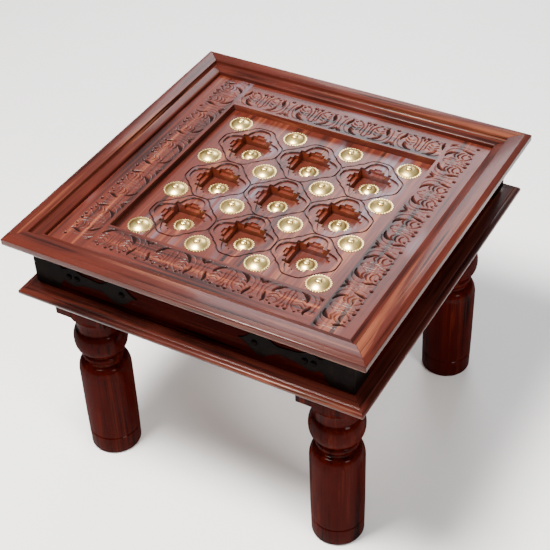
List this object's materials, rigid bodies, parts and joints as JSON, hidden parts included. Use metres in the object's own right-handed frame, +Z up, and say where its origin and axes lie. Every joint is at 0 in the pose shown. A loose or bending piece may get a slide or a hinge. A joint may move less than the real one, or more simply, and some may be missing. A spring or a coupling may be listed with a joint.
{
  "type": "carved coffee table with brass domes",
  "caption": "Low square hardwood table with a carved border, a sunk panel of pockets set with brass domes, iron corner straps, a ledge and turned legs.",
  "frame": {"origin": "middle of the footprint, on the floor", "axes": "+Z up, the front faces -Y, +X to the right"},
  "size_m": [0.6, 0.6, 0.465],
  "materials": {
    "rosewood": "satin lacquer over red-brown rosewood with darker figure",
    "carved_rosewood": "satin lacquer, darker in the carving's recesses",
    "apron_rosewood": "dark satin lacquer",
    "leg_rosewood": "gloss lacquer over red-brown rosewood",
    "plain_board": "bare, unfinished",
    "brass": "bright stamped brass",
    "black_iron": "blackened, lightly hammered",
    "zinc_steel": "zinc plated",
    "felt": "felt"
  },
  "bodies": {
    "root": {"top_rail_front": "rosewood", "top_rail_right": "rosewood", "top_rail_back": "rosewood", "top_rail_left": "rosewood", "border_board_front": "carved_rosewood", "border_board_right": "carved_rosewood", "border_board_back": "carved_rosewood", "border_board_left": "carved_rosewood", "carved_panel": "carved_rosewood", "support_battens": "plain_board", "backing_board": "plain_board", "cleats": "plain_board", "apron_front": "apron_rosewood", "apron_right": "apron_rosewood", "apron_back": "apron_rosewood", "apron_left": "apron_rosewood", "corner_blocks": "plain_board", "corner_strap_front_right": "black_iron", "corner_strap_back_right": "black_iron", "corner_strap_back_left": "black_iron", "corner_strap_front_left": "black_iron", "strap_studs": "black_iron", "ledge_rail_front": "rosewood", "ledge_rail_right": "rosewood", "ledge_rail_back": "rosewood", "ledge_rail_left": "rosewood", "ledge_screws": "zinc_steel", "leg_front_right": "leg_rosewood", "leg_back_right": "leg_rosewood", "leg_back_left": "leg_rosewood", "leg_front_left": "leg_rosewood", "hanger_bolts": "zinc_steel", "bolt_nuts": "zinc_steel", "felt_pads": "felt", "dome_nails": "brass", "large_dome_1_1": "brass", "large_dome_1_2": "brass", "large_dome_1_3": "brass", "large_dome_1_4": "brass", "large_dome_2_1": "brass", "large_dome_2_2": "brass", "large_dome_2_3": "brass", "large_dome_2_4": "brass", "large_dome_3_1": "brass", "large_dome_3_2": "brass", "large_dome_3_3": "brass", "large_dome_3_4": "brass", "large_dome_4_1": "brass", "large_dome_4_2": "brass", "large_dome_4_3": "brass", "large_dome_4_4": "brass", "small_dome_1_1": "brass", "small_dome_1_2": "brass", "small_dome_1_3": "brass", "small_dome_2_1": "brass", "small_dome_2_2": "brass", "small_dome_2_3": "brass", "small_dome_3_1": "brass", "small_dome_3_2": "brass", "small_dome_3_3": "brass"}
  },
  "joints": []
}
